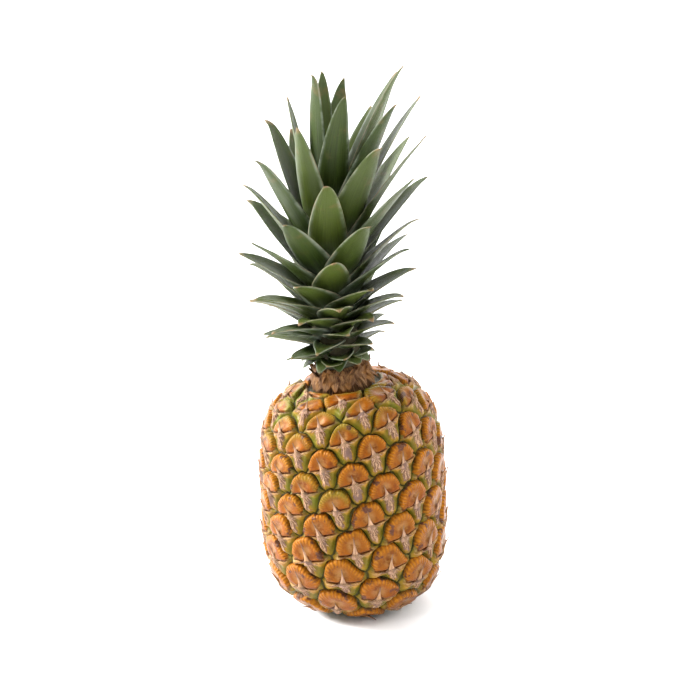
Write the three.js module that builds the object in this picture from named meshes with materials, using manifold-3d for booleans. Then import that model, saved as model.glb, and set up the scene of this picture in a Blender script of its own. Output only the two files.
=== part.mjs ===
// A ripe pineapple standing on its base: the fruit with its spiral of eyes, the collar of dry bracts round
// its neck, and the crown of channelled leaves. Millimetres, +Z up, origin at the centre of the flat base.
import * as THREE from "three";
import { ConvexHull } from "three/addons/math/ConvexHull.js";
import { mergeVertices } from "three/addons/utils/BufferGeometryUtils.js";
import Module from "manifold-3d";

const DEGREE = Math.PI / 180;

// Each eye follows the one below it by nearly the golden angle, clockwise seen from above, and each leaf by
// a little more.
const EYE_TURN = 137.45 * DEGREE;
const LEAF_TURN = 138.785 * DEGREE;

// The fruit without its relief is a barrel: two half superellipses that meet at its widest ring.
const FRUIT_RADIUS = 55.4;
const FRUIT_HEIGHT = 142.7;
const BELLY_HEIGHT = 62;
const LOWER_SQUARENESS = 3.1;
const UPPER_SQUARENESS = 3.8;
const BASE_RADIUS = 24;
const BASE_DISC_RADIUS = 22;
const CLEAR_OF_GROUND = 0.4;
const SEAT_RADIUS = 22;
const SEAT_DISC_RADIUS = 20.5;
const SEAT_HEIGHT = FRUIT_HEIGHT - 2.4;

// It grew a little lopsided: the right shoulder is the higher one, and the neck sits left of the base. This
// share of the neck's offset comes evenly with height, and the rest near the top.
const SHOULDER_TILT = 7.5 * DEGREE;
const NECK_OFFSET = 7.5;
const EVEN_LEAN = 0.3;

// The spiral is counted from an eye that faces the front. The eyes get smaller upwards, and turn less.
const FRONT_EYE_HEIGHT = 98;
const FRONT_EYE_TURN = -88 * DEGREE;
const FRONT_EYE_AREA = 416;
const EYE_AREA_DRIFT = 1.18;
const EYE_TURN_DRIFT = 0.0047 * DEGREE;
const GROOVE_DEPTH = 2.4;
const GROOVE_BULGE = 0.2;
const FAN_RISE = 1.1;
const FAN_DISH = 0.9;
const BRACT_RISE = 0.7;
const BRACT_SWELL = 1.2;
const RIM_REACH = 0.83;
const SPINE_ROOT_REACH = 0.2;
const SPINE_RISE = 3.2;
const SPINE_LEAN = 0.42;

// The collar of dry bracts stands on the fruit's seat, and the crown's stem on the collar.
const GAP = 0.4;
const COLLAR_HEIGHT = 15;
const COLLAR_RADIUS = 14.5;
const COLLAR_FOOT_RADIUS = 18;
const COLLAR_FOOT_HEIGHT = 6;
const BRACTS_PER_WHORL = 9;
const BRACT_WIDTH = 8.5;
const BRACT_THICKNESS = 0.8;
const BRACT_CHANNEL = 0.5;
const HANGING_BRACT_HEIGHT = 12;
const HANGING_BRACT_LENGTH = 6;
const HANGING_BRACT_SPLAY = 5.5;
const STANDING_BRACT_HEIGHT = 3;
const STANDING_BRACT_LENGTH = 12;
const STANDING_BRACT_SPLAY = 2;

// The crown's leaves, from the lowest one to the heart of the crown. Heights are above the fruit's seat.
const LEAF_COUNT = 74;
const LEAF_ROOT_HEIGHT = [17, 24.8, 32.8, 43.5, 55.5, 67.4, 79.4];
const LEAF_TIP_HEIGHT = [23.2, 36.9, 55.8, 76.9, 111.9, 158, 195.1];
const LEAF_REACH = [26.9, 38.7, 48.1, 52.6, 56.1, 54.8, 28.7];
const LEAF_WIDTH = [16.8, 19.3, 21.8, 24.3, 25.2, 25.8, 20.8];
const LEAF_KNEE_OUT = [0.5, 0.42, 0.41, 0.44, 0.48, 0.52, 0.55];
const LEAF_KNEE_UP = [0.5, 0.9, 0.87, 0.71, 0.65, 0.67, 0.7];
const LEAF_THICKNESS = 2.4;
const LEAF_CHANNEL = 62 * DEGREE;
const LEAF_TURN_SPREAD = 10 * DEGREE;
const LEAF_TWIST_SPREAD = 30 * DEGREE;
const LEAF_REACH_SPREAD = 0.1;
const LEAF_TIP_SPREAD = 8;
const FRONT_LEAF = 44;
const FRONT_LEAF_TURN = -90.7 * DEGREE;
const LEFTWARD_REACH = 0.124;
const CROWN_NOD = 2.7 * DEGREE;
const CROWN_BEND = 44;
const CROWN_BEND_START = 0.243;
const CROWN_HEIGHT = 198;
const STEM_RADIUS = 14;
const STEM_TOP_RADIUS = 7;
const STEM_TOP = 98;

// Below the spiral, a ring of short leaves clasps the foot of the stem and droops over the collar.
const SHORT_LEAF_COUNT = 11;
const SHORT_LEAF_HEIGHT = 19.4;
const SHORT_LEAF_TIP_HEIGHT = 16.6;
const SHORT_LEAF_REACH = 21;
const SHORT_LEAF_WIDTH = 13;
const SHORT_LEAF_THICKNESS = 1.8;
const SHORT_LEAF_CHANNEL = 40 * DEGREE;

// Edges shorter than this are left out where leaves or bracts are fused.
const SLIVER = 0.12;

const { clamp, lerp, smoothstep } = THREE.MathUtils;

// Numbers from 0 to 1 that come out the same at each run.
function seededRandom(seed) {
  let state = seed;
  return () => {
    state = (state * 1664525 + 1013904223) % 4294967296;
    return state / 4294967296;
  };
}

// A smooth curve through evenly spaced values, read at t from 0 to 1.
function along(values, t) {
  const x = t * (values.length - 1);
  const i = Math.min(Math.floor(x), values.length - 2);
  const f = x - i;
  const [a, b, c, d] = [i - 1, i, i + 1, i + 2].map((k) => values[clamp(k, 0, values.length - 1)]);
  return b + 0.5 * f * (c - a + f * (2 * a - 5 * b + 4 * c - d + f * (3 * (b - c) + d - a)));
}

const wasm = await Module();
wasm.setup();

function solidOf(geometry) {
  const bare = geometry.clone();
  bare.deleteAttribute("normal");
  bare.deleteAttribute("uv");
  const merged = mergeVertices(bare, 1e-4);
  return new wasm.Manifold(
    new wasm.Mesh({
      numProp: 3,
      vertProperties: merged.attributes.position.array,
      triVerts: new Uint32Array(merged.index.array),
    }),
  );
}

function geometryOf(solid) {
  const { vertProperties, triVerts } = solid.getMesh();
  const geometry = new THREE.BufferGeometry();
  geometry.setAttribute("position", new THREE.BufferAttribute(vertProperties, 3));
  geometry.setIndex(new THREE.BufferAttribute(triVerts, 1));
  return geometry;
}

// Several closed geometries fused into one body. Slivers that are too small to see are left out, and the
// pockets closed off between neighbours are filled: only the outermost skin is kept.
function fused(geometries) {
  const whole = geometries.map(solidOf).reduce((sum, piece) => sum.add(piece));
  const skins = whole.simplify(SLIVER).decompose();
  return geometryOf(skins.reduce((outer, skin) => (skin.volume() > outer.volume() ? skin : outer)));
}

function geometryFrom(points, triangles) {
  const geometry = new THREE.BufferGeometry().setFromPoints(points);
  geometry.setIndex(triangles.flat());
  return geometry;
}

// The fruit's profile as a table of radius, height and the area of the skin below.
function fruitProfile() {
  const steps = 3000;
  const rows = [];
  let area = 0;
  for (let i = 0; i <= steps; i++) {
    const angle = (i / steps - 0.5) * Math.PI;
    const upper = angle > 0;
    const power = 2 / (upper ? UPPER_SQUARENESS : LOWER_SQUARENESS);
    const halfHeight = upper ? FRUIT_HEIGHT - BELLY_HEIGHT : BELLY_HEIGHT;
    const rise = halfHeight * Math.abs(Math.sin(angle)) ** power;
    const radius = FRUIT_RADIUS * Math.max(Math.cos(angle), 0) ** power;
    const height = BELLY_HEIGHT + (upper ? rise : -rise);
    if (i) {
      const last = rows[i - 1];
      area += Math.PI * (radius + last.radius) * Math.hypot(radius - last.radius, height - last.height);
    }
    rows.push({ radius, height, area });
  }
  // The latitude of each row on a ball onto which the skin is mapped without changing its angles.
  const middle = rows.findIndex((row) => row.height >= BELLY_HEIGHT);
  let latitude = 0;
  const climb = (a, b) =>
    (2 * Math.hypot(a.radius - b.radius, a.height - b.height)) / Math.max(a.radius + b.radius, 0.2);
  rows[middle].level = 0;
  for (let i = middle + 1; i <= steps; i++) {
    latitude += climb(rows[i - 1], rows[i]);
    rows[i].level = Math.tanh(latitude);
  }
  latitude = 0;
  for (let i = middle - 1; i >= 0; i--) {
    latitude -= climb(rows[i + 1], rows[i]);
    rows[i].level = Math.tanh(latitude);
  }
  return rows;
}

const PROFILE = fruitProfile();
const FRUIT_AREA = PROFILE.at(-1).area;
const BASE_LEVEL = PROFILE.find((row) => row.radius >= BASE_RADIUS).level;
const SEAT_LEVEL = PROFILE.findLast((row) => row.radius >= SEAT_RADIUS).level;

// The profile's radius, height and outward slope at a level of the ball, from -1 to 1.
function profileAt(level) {
  let low = 0;
  let high = PROFILE.length - 1;
  while (high - low > 1) {
    const middle = (low + high) >> 1;
    if (PROFILE[middle].level <= level) low = middle;
    else high = middle;
  }
  const [a, b] = [PROFILE[low], PROFILE[high]];
  const f = clamp((level - a.level) / (b.level - a.level || 1), 0, 1);
  const run = b.radius - a.radius;
  const rise = b.height - a.height;
  const step = Math.hypot(run, rise);
  return {
    radius: lerp(a.radius, b.radius, f),
    height: lerp(a.height, b.height, f),
    out: rise / step,
    up: -run / step,
  };
}

// The fruit's skin is laid out on that unit ball, so that the cells between the eyes can be found there.
// This gives the real point for a point of the ball and a rise above the skin.
function onFruit(ball, rise) {
  const turn = Math.atan2(ball.y, ball.x);
  const { radius, height, out, up } = profileAt(ball.z);
  const r = radius + rise * out;
  const z = Math.max(height + rise * up, CLEAR_OF_GROUND);
  return new THREE.Vector3(r * Math.cos(turn), r * Math.sin(turn), z);
}

function onBall(turn, level) {
  const r = Math.sqrt(1 - level * level);
  return new THREE.Vector3(r * Math.cos(turn), r * Math.sin(turn), level);
}

// The lopsided growth: z follows x near the top, and x moves left with height.
function lopsided(point) {
  const share = clamp(point.z / FRUIT_HEIGHT, 0, 1);
  const lean = smoothstep(share, 0.15, 0.95);
  point.z += point.x * Math.tan(SHOULDER_TILT) * lean;
  point.x -= NECK_OFFSET * lerp(share ** 4, share, EVEN_LEAN);
  return point;
}

// Where the eyes sit on the ball, with the flat base first and the seat of the neck last.
function eyeSites() {
  const frontArea = PROFILE.find((row) => row.height >= FRONT_EYE_HEIGHT).area;
  const lowest = Math.PI * BASE_RADIUS ** 2 + FRONT_EYE_AREA / 2;
  const highest = FRUIT_AREA - Math.PI * SEAT_RADIUS ** 2 - FRONT_EYE_AREA / 2;
  const areaBelow = (n) => frontArea + n * (FRONT_EYE_AREA - EYE_AREA_DRIFT * n);
  let n = 0;
  while (areaBelow(n - 1) > lowest) n--;
  const sites = [new THREE.Vector3(0, 0, -1)];
  for (; areaBelow(n) < highest; n++) {
    const { level } = PROFILE.find((row) => row.area >= areaBelow(n));
    sites.push(onBall(FRONT_EYE_TURN - n * (EYE_TURN - EYE_TURN_DRIFT * n), level));
  }
  sites.push(new THREE.Vector3(0, 0, 1));
  return sites;
}

// The corners of each site's cell, in order round it, from the convex hull of the sites on the ball.
function cellsOf(sites) {
  const corners = [];
  const around = sites.map(() => new Map());
  for (const face of new ConvexHull().setFromPoints(sites).faces) {
    const own = [0, 1, 2].map((k) => sites.indexOf(face.getEdge(k).head().point));
    corners.push(face.normal.clone());
    own.forEach((site, k) => around[site].set(own[(k + 1) % 3], [corners.length - 1, own[(k + 2) % 3]]));
  }
  const cells = around.map((links) => {
    const ring = [];
    let next = links.keys().next().value;
    for (let k = 0; k < links.size; k++) {
      const [corner, following] = links.get(next);
      ring.push(corner);
      next = following;
    }
    return ring;
  });
  // The flat base and the seat of the neck have sizes of their own.
  for (const corner of cells[0]) moveTo(corners[corner], BASE_LEVEL);
  for (const corner of cells.at(-1)) moveTo(corners[corner], SEAT_LEVEL);
  return { corners, cells };
}

// Moves a point of the ball along its meridian to a level.
function moveTo(ball, level) {
  ball.copy(onBall(Math.atan2(ball.y, ball.x), level));
}

// The compass direction of a point of an eye as seen from its middle: 0 is right, and a quarter turn is up.
function directionIn(site, point) {
  const east = new THREE.Vector3(-site.y, site.x, 0).normalize();
  const north = site.clone().cross(east);
  return Math.atan2(point.dot(north), point.dot(east));
}

// How high an eye's skin stands. Above its middle it is a broad fan, and below it a star-shaped bract.
function eyeRise(reach, direction) {
  const fan = smoothstep(Math.sin(direction), -0.4, 0);
  const plateau = lerp(BRACT_RISE, FAN_RISE, fan);
  const dish = lerp(-BRACT_SWELL, FAN_DISH, fan) * (1 - smoothstep(reach, 0, RIM_REACH));
  return plateau - dish - (plateau + GROOVE_DEPTH) * smoothstep(reach, RIM_REACH, 1);
}

// The whole skin of the fruit: rings of points round every eye, shared with its neighbours in the grooves.
function fruitGeometry() {
  const sites = eyeSites();
  const { corners, cells } = cellsOf(sites);
  const points = [];
  const triangles = [];
  const grooves = new Map();
  const add = (point) => points.push(lopsided(point)) - 1;
  // Halfway between two corners the lower eye's round fan bulges up into the groove.
  const groovePoint = (a, b, site) => {
    const key = [Math.min(a, b), Math.max(a, b)].join();
    if (!grooves.has(key)) {
      const ball = corners[a].clone().add(corners[b]).normalize();
      const upward = ball.clone().sub(site).normalize();
      const length = corners[a].distanceTo(corners[b]);
      ball.addScaledVector(upward, GROOVE_BULGE * length * upward.z).normalize();
      moveTo(ball, clamp(ball.z, BASE_LEVEL, SEAT_LEVEL));
      grooves.set(key, { ball, index: add(onFruit(ball, -GROOVE_DEPTH)) });
    }
    return grooves.get(key);
  };
  const band = (outer, inner) =>
    outer.forEach((a, k) => {
      const b = outer[(k + 1) % outer.length];
      const [c, d] = [inner[k], inner[(k + 1) % inner.length]];
      triangles.push([a, b, d], [a, d, c]);
    });
  cells.forEach((ring, n) => {
    const site = sites[n];
    const edge = ring.flatMap((corner, k) => [
      groovePoint(corner, corner, site),
      groovePoint(corner, ring[(k + 1) % ring.length], site),
    ]);
    const groove = edge.map((e) => e.index);
    const inward = (e, reach) => site.clone().lerp(e.ball, reach).normalize();
    if (n === 0 || n === sites.length - 1) {
      // The base and the seat of the neck are flat discs.
      const level = n ? SEAT_HEIGHT : 0;
      const radius = n ? SEAT_DISC_RADIUS : BASE_DISC_RADIUS;
      const rim = edge.map(({ ball }) => {
        const turn = Math.atan2(ball.y, ball.x);
        return add(new THREE.Vector3(radius * Math.cos(turn), radius * Math.sin(turn), level));
      });
      band(groove, rim);
      const middle = add(new THREE.Vector3(0, 0, level));
      rim.forEach((a, k) => triangles.push([a, rim[(k + 1) % rim.length], middle]));
      return;
    }
    const ringAt = (from, reach) =>
      from.map((e) => {
        const ball = inward(e, reach);
        return add(onFruit(ball, eyeRise(reach, directionIn(site, ball))));
      });
    const rim = ringAt(edge, RIM_REACH);
    const root = ringAt(edge.filter((e, k) => k % 2 === 0), SPINE_ROOT_REACH);
    band(groove, rim);
    root.forEach((c, k) => {
      const d = root[(k + 1) % root.length];
      const [a, m, b] = [rim[2 * k], rim[2 * k + 1], rim[(2 * k + 2) % rim.length]];
      triangles.push([a, m, c], [m, d, c], [m, b, d]);
    });
    // The bract's dry tip stands out of the middle and leans up over the fan.
    const top = edge.reduce((best, e) => (e.ball.z > best.ball.z ? e : best));
    const tip = add(onFruit(inward(top, SPINE_LEAN), SPINE_RISE));
    root.forEach((a, k) => triangles.push([a, root[(k + 1) % root.length], tip]));
  });
  return geometryFrom(points, triangles);
}

// A channelled blade on a curve in an upright plane. `curve` gives (out, up), `turn` the plane's direction,
// and `twist` turns the blade about its own length towards the tip.
function blade({ curve, turn, width, thickness, channel, twist, segments }) {
  const outward = new THREE.Vector3(Math.cos(turn), Math.sin(turn), 0);
  const sideways = new THREE.Vector3(-Math.sin(turn), Math.cos(turn), 0);
  const up = new THREE.Vector3(0, 0, 1);
  // Where the section's points lie across the blade, and whether each is on its upper face.
  const section = [
    [-1, 0],
    [0, 0],
    [1, 0],
    [0, 1],
  ];
  const points = [];
  const triangles = [];
  for (let i = 0; i < segments; i++) {
    const u = i / segments;
    const at = curve.getPoint(u);
    const slope = curve.getTangent(u);
    const along = outward.clone().multiplyScalar(slope.x).addScaledVector(up, slope.y);
    const inner = outward.clone().multiplyScalar(-slope.y).addScaledVector(up, slope.x);
    const side = sideways.clone().applyAxisAngle(along, twist * u);
    inner.applyAxisAngle(along, twist * u);
    const halfWidth = (width / 2) * bladeOutline(u);
    const halfAngle = lerp(channel, 0.45 * channel, smoothstep(u, 0, 0.7));
    const bendRadius = halfWidth / Math.sin(halfAngle);
    for (const [across, upper] of section) {
      const angle = across * halfAngle;
      points.push(
        outward
          .clone()
          .multiplyScalar(at.x)
          .addScaledVector(up, at.y)
          .addScaledVector(side, bendRadius * Math.sin(angle))
          .addScaledVector(inner, bendRadius * (1 - Math.cos(angle)) + upper * thickness * (1 - 0.5 * u)),
      );
    }
  }
  const tip = curve.getPoint(1);
  points.push(outward.clone().multiplyScalar(tip.x).addScaledVector(up, tip.y));
  const n = section.length;
  for (let i = 0; i < segments; i++)
    for (let k = 0; k < n; k++) {
      const [a, b] = [i * n + k, i * n + ((k + 1) % n)];
      if (i === segments - 1) triangles.push([a, b, points.length - 1]);
      else triangles.push([a, b, b + n], [a, b + n, a + n]);
    }
  triangles.push([0, 3, 1], [1, 3, 2]);
  return geometryFrom(points, triangles);
}

// The blade's width along its length, as a share of its greatest: a broad root, full at a third, pointed.
function bladeOutline(u) {
  return (0.74 + 0.26 * Math.sin(Math.min(u / 0.35, 1) * (Math.PI / 2))) * (1 - u ** 2.2) ** 0.85;
}

function bladeCurve(root, knee, tip) {
  return new THREE.QuadraticBezierCurve(
    new THREE.Vector2(...root),
    new THREE.Vector2(...knee),
    new THREE.Vector2(...tip),
  );
}

function standingBract(stretch, flare) {
  const length = STANDING_BRACT_LENGTH + stretch;
  const low = STANDING_BRACT_HEIGHT;
  return bladeCurve(
    [COLLAR_RADIUS - 1.6, low],
    [COLLAR_RADIUS + 0.6, low + 0.6 * length],
    [COLLAR_RADIUS + STANDING_BRACT_SPLAY + 2 * flare, low + length],
  );
}

function hangingBract(stretch, flare) {
  const length = HANGING_BRACT_LENGTH + stretch;
  const splay = HANGING_BRACT_SPLAY + flare;
  const high = HANGING_BRACT_HEIGHT;
  return bladeCurve(
    [COLLAR_RADIUS - 1, high],
    [COLLAR_RADIUS + 0.6 * splay, high - 0.2 * length],
    [COLLAR_RADIUS + splay, high - length],
  );
}

// Two whorls of dry bracts fused to the short neck: the lower ones hang over its foot, the upper ones stand.
function collarGeometry() {
  const random = seededRandom(5);
  const core = new THREE.LatheGeometry(
    [
      new THREE.Vector2(0, GAP),
      new THREE.Vector2(COLLAR_FOOT_RADIUS, GAP),
      new THREE.Vector2(COLLAR_RADIUS + 1, COLLAR_FOOT_HEIGHT),
      new THREE.Vector2(COLLAR_RADIUS, COLLAR_HEIGHT),
      new THREE.Vector2(0, COLLAR_HEIGHT),
    ],
    16,
  ).rotateX(Math.PI / 2);
  const pieces = [core];
  for (let i = 0; i < 2 * BRACTS_PER_WHORL; i++) {
    const stretch = random();
    pieces.push(
      blade({
        curve: i % 2 ? standingBract(stretch, random()) : hangingBract(stretch, random()),
        turn: (i / (2 * BRACTS_PER_WHORL)) * 2 * Math.PI + 0.12 * (random() - 0.5),
        width: BRACT_WIDTH,
        thickness: BRACT_THICKNESS,
        channel: BRACT_CHANNEL,
        twist: 0.3 * (random() - 0.5),
        segments: 3,
      }),
    );
  }
  return fused(pieces);
}

function shortLeaves(random) {
  const leaves = [];
  for (let i = 0; i < SHORT_LEAF_COUNT; i++) {
    const root = [STEM_RADIUS - 2, SHORT_LEAF_HEIGHT + 1.4 * random()];
    const tip = [SHORT_LEAF_REACH + 4 * random(), SHORT_LEAF_TIP_HEIGHT + 1.5 * random()];
    leaves.push(
      blade({
        curve: bladeCurve(root, [STEM_RADIUS + 3.5, root[1] + 1], tip),
        turn: ((i + 0.4 * random()) / SHORT_LEAF_COUNT) * 2 * Math.PI,
        width: SHORT_LEAF_WIDTH,
        thickness: SHORT_LEAF_THICKNESS,
        channel: SHORT_LEAF_CHANNEL,
        twist: 0.3 * (random() - 0.5),
        segments: 3,
      }),
    );
  }
  return leaves;
}

// The leaves climb the stem in the same spiral as the eyes, and rise more steeply towards the heart.
function crownGeometry() {
  const random = seededRandom(3927);
  const stem = new THREE.LatheGeometry(
    [
      new THREE.Vector2(0, COLLAR_HEIGHT + GAP),
      new THREE.Vector2(STEM_RADIUS, COLLAR_HEIGHT + GAP),
      new THREE.Vector2(STEM_RADIUS, LEAF_ROOT_HEIGHT[3]),
      new THREE.Vector2(STEM_TOP_RADIUS, STEM_TOP),
      new THREE.Vector2(0, STEM_TOP),
    ],
    14,
  ).rotateX(Math.PI / 2);
  const pieces = [stem];
  for (let j = 0; j < LEAF_COUNT; j++) {
    const t = j / (LEAF_COUNT - 1);
    const wobble = () => random() - 0.5;
    const rootHeight = along(LEAF_ROOT_HEIGHT, t);
    const rootRadius = 0.6 * lerp(STEM_RADIUS, STEM_TOP_RADIUS, t);
    const turn = FRONT_LEAF_TURN - (j - FRONT_LEAF) * LEAF_TURN + LEAF_TURN_SPREAD * wobble();
    const leftward = LEFTWARD_REACH * Math.cos(turn) * Math.max(1 - 1.4 * t, 0);
    const reach = along(LEAF_REACH, t) * (1 - leftward + LEAF_REACH_SPREAD * wobble());
    const nod = reach * Math.sin(CROWN_NOD) * Math.sin(turn);
    const tipHeight = along(LEAF_TIP_HEIGHT, t) + LEAF_TIP_SPREAD * t * wobble() + nod;
    const knee = [
      lerp(rootRadius, reach, along(LEAF_KNEE_OUT, t)),
      lerp(rootHeight, tipHeight, along(LEAF_KNEE_UP, t)),
    ];
    pieces.push(
      blade({
        curve: bladeCurve([rootRadius, rootHeight], knee, [reach, tipHeight]),
        turn,
        width: along(LEAF_WIDTH, t),
        thickness: LEAF_THICKNESS,
        channel: LEAF_CHANNEL,
        twist: LEAF_TWIST_SPREAD * wobble(),
        segments: t < 0.3 ? 4 : 5,
      }),
    );
  }
  const crown = fused([...pieces, ...shortLeaves(random)]);
  const position = crown.attributes.position;
  for (let i = 0; i < position.count; i++) {
    const share = Math.max(position.getZ(i) / CROWN_HEIGHT, 0);
    position.setX(i, position.getX(i) + CROWN_BEND * share * (share - CROWN_BEND_START));
  }
  return crown;
}

function piece(name, geometry, material) {
  const mesh = new THREE.Mesh(geometry, new THREE.MeshStandardMaterial({ metalness: 0, ...material }));
  mesh.name = name;
  return mesh;
}

const pineapple = new THREE.Group();
pineapple.add(piece("fruit", fruitGeometry(), { color: 0xb8772e, roughness: 0.55 }));

// The neck leans with the shoulders.
const neck = new THREE.Group();
neck.position.set(-NECK_OFFSET, 0, SEAT_HEIGHT);
neck.rotation.y = -SHOULDER_TILT;
neck.add(piece("dry_collar", collarGeometry(), { color: 0xa58468, roughness: 0.9 }));
neck.add(piece("crown", crownGeometry(), { color: 0x3f5a2c, roughness: 0.5 }));
pineapple.add(neck);

export default pineapple;
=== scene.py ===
# A ripe pineapple on its base: the rind with its spiral of eyes, the dry tips of their bracts, the collar of
# dry bracts round the neck, and the crown of channelled leaves.
import math

import bmesh
import bpy
import numpy as np
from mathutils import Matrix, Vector


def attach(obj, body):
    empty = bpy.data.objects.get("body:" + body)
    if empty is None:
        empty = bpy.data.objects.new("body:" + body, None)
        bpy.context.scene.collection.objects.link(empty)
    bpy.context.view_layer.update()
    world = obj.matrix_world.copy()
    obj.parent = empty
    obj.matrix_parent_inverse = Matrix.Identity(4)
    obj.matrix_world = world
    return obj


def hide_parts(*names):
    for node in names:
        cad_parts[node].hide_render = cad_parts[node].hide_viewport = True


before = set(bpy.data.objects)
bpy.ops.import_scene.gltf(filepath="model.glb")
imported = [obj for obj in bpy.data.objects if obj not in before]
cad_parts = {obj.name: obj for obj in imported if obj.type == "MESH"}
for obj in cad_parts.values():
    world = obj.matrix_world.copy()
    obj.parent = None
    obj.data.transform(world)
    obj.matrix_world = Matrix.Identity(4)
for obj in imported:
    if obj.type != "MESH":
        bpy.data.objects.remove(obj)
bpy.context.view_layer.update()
MM = 0.001

# The rind
# The real skin is some hundred flowers grown together. Each eye has an orange fan above and a yellow-green
# bract below, which meet in a crease, and dark grooves part it from its neighbours.

FRUIT_RADIUS = 55.4
FRUIT_HEIGHT = 142.7
BELLY_HEIGHT = 62.0
LOWER_SQUARENESS = 3.1
UPPER_SQUARENESS = 3.8
BASE_RADIUS = 24.0
BASE_DISC_RADIUS = 22.0
CLEAR_OF_GROUND = 0.4
SEAT_RADIUS = 22.0
SEAT_DISC_RADIUS = 20.5
SEAT_HEIGHT = FRUIT_HEIGHT - 2.4
SHOULDER_TILT = math.radians(7.5)
NECK_OFFSET = 7.5
EVEN_LEAN = 0.3
EYE_TURN = math.radians(137.45)
EYE_TURN_DRIFT = math.radians(0.0047)
FRONT_EYE_HEIGHT = 98.0
FRONT_EYE_TURN = math.radians(-88)
FRONT_EYE_AREA = 416.0
EYE_AREA_DRIFT = 1.18
GROOVE_DEPTH = 2.4
FAN_BULGE = 3.0
EDGE_STEPS = 9
CORNER_DIP = 0.14
SKIN_SEED = 7
PROFILE_STEPS = 6000
# How far out the rings of points on an eye lie, as shares of the way to its groove.
RINGS = [0.965, 0.93, 0.89, 0.84, 0.77, 0.69, 0.6, 0.51, 0.42, 0.34, 0.27, 0.2, 0.14, 0.08]


def smoothstep(x, low, high):
    t = np.clip((x - low) / (high - low), 0, 1)
    return t * t * (3 - 2 * t)


# The barrel profile: radius, height, the area of skin below, and the level on an angle-true unit ball.
angle = (np.arange(PROFILE_STEPS + 1) / PROFILE_STEPS - 0.5) * math.pi
power = np.where(angle > 0, 2 / UPPER_SQUARENESS, 2 / LOWER_SQUARENESS)
half_height = np.where(angle > 0, FRUIT_HEIGHT - BELLY_HEIGHT, BELLY_HEIGHT)
profile_height = BELLY_HEIGHT + np.sign(angle) * half_height * np.abs(np.sin(angle)) ** power
profile_radius = FRUIT_RADIUS * np.clip(np.cos(angle), 0, 1) ** power
stretch = np.hypot(np.diff(profile_radius), np.diff(profile_height))
ring_sum = profile_radius[1:] + profile_radius[:-1]
profile_area = np.concatenate([[0], np.cumsum(math.pi * ring_sum * stretch)])
latitude = np.concatenate([[0], np.cumsum(2 * stretch / np.maximum(ring_sum, 0.2))])
latitude -= latitude[np.argmax(profile_height >= BELLY_HEIGHT)]
profile_level = np.tanh(latitude)
slope_out = np.gradient(profile_height)
slope_up = -np.gradient(profile_radius)
slope = np.hypot(slope_out, slope_up)
slope_out, slope_up = slope_out / slope, slope_up / slope


def on_ball(turn, level):
    r = math.sqrt(max(1 - level * level, 0))
    return np.array([r * math.cos(turn), r * math.sin(turn), level])


def on_fruit(ball, rise):
    """Real points, in mm, for points of the ball and their rise above the skin."""
    turn = np.arctan2(ball[..., 1], ball[..., 0])
    level = ball[..., 2]
    r = np.interp(level, profile_level, profile_radius) + rise * np.interp(level, profile_level, slope_out)
    z = np.interp(level, profile_level, profile_height) + rise * np.interp(level, profile_level, slope_up)
    z = np.maximum(z, CLEAR_OF_GROUND)
    return lopsided(np.stack([r * np.cos(turn), r * np.sin(turn), z], -1))


def lopsided(p):
    """The right shoulder is the higher one, and the neck sits left of the base."""
    share = np.clip(p[..., 2] / FRUIT_HEIGHT, 0, 1)
    x = p[..., 0] - NECK_OFFSET * (EVEN_LEAN * share + (1 - EVEN_LEAN) * share**4)
    z = p[..., 2] + p[..., 0] * math.tan(SHOULDER_TILT) * smoothstep(share, 0.15, 0.95)
    return np.stack([x, p[..., 1], z], -1)


# The eyes' places, up the spiral.
front_area = profile_area[np.argmax(profile_height >= FRONT_EYE_HEIGHT)]
lowest = math.pi * BASE_RADIUS**2 + FRONT_EYE_AREA / 2
highest = profile_area[-1] - math.pi * SEAT_RADIUS**2 - FRONT_EYE_AREA / 2


def area_below(n):
    return front_area + n * (FRONT_EYE_AREA - EYE_AREA_DRIFT * n)


first_eye = 0
while area_below(first_eye - 1) > lowest:
    first_eye -= 1
sites = [np.array([0.0, 0.0, -1.0])]
eye_number = first_eye
while area_below(eye_number) < highest:
    level = profile_level[np.argmax(profile_area >= area_below(eye_number))]
    sites.append(on_ball(FRONT_EYE_TURN - eye_number * (EYE_TURN - EYE_TURN_DRIFT * eye_number), level))
    eye_number += 1
sites.append(np.array([0.0, 0.0, 1.0]))

# The cells round them, from the hull of the places on the ball: one corner for each face of the hull.
hull = bmesh.new()
for site in sites:
    hull.verts.new(site)
bmesh.ops.convex_hull(hull, input=hull.verts)
hull.verts.ensure_lookup_table()
hull.faces.index_update()
corners = []
for face in hull.faces:
    normal = np.array(face.normal)
    middle = np.array(face.calc_center_median())
    corners.append(normal if normal @ middle > 0 else -normal)
base_level = profile_level[np.argmax(profile_radius >= BASE_RADIUS)]
seat_level = profile_level[len(profile_radius) - 1 - np.argmax(profile_radius[::-1] >= SEAT_RADIUS)]
for pole, level in ((0, base_level), (len(sites) - 1, seat_level)):
    for face in hull.verts[pole].link_faces:
        c = corners[face.index]
        corners[face.index] = on_ball(math.atan2(c[1], c[0]), level)


def compass(site):
    """East and north along the ball at a place."""
    east = np.array([-site[1], site[0], 0.0]) / max(math.hypot(site[0], site[1]), 1e-9)
    return east, np.cross(site, east)


cells = []
for number, site in enumerate(sites):
    east, north = compass(site) if abs(site[2]) < 1 else (np.array([1.0, 0, 0]), np.array([0, site[2], 0.0]))
    faces = [f.index for f in hull.verts[number].link_faces]
    faces.sort(key=lambda f: math.atan2(corners[f] @ north, corners[f] @ east))
    cells.append(faces)
hull.free()


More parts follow.
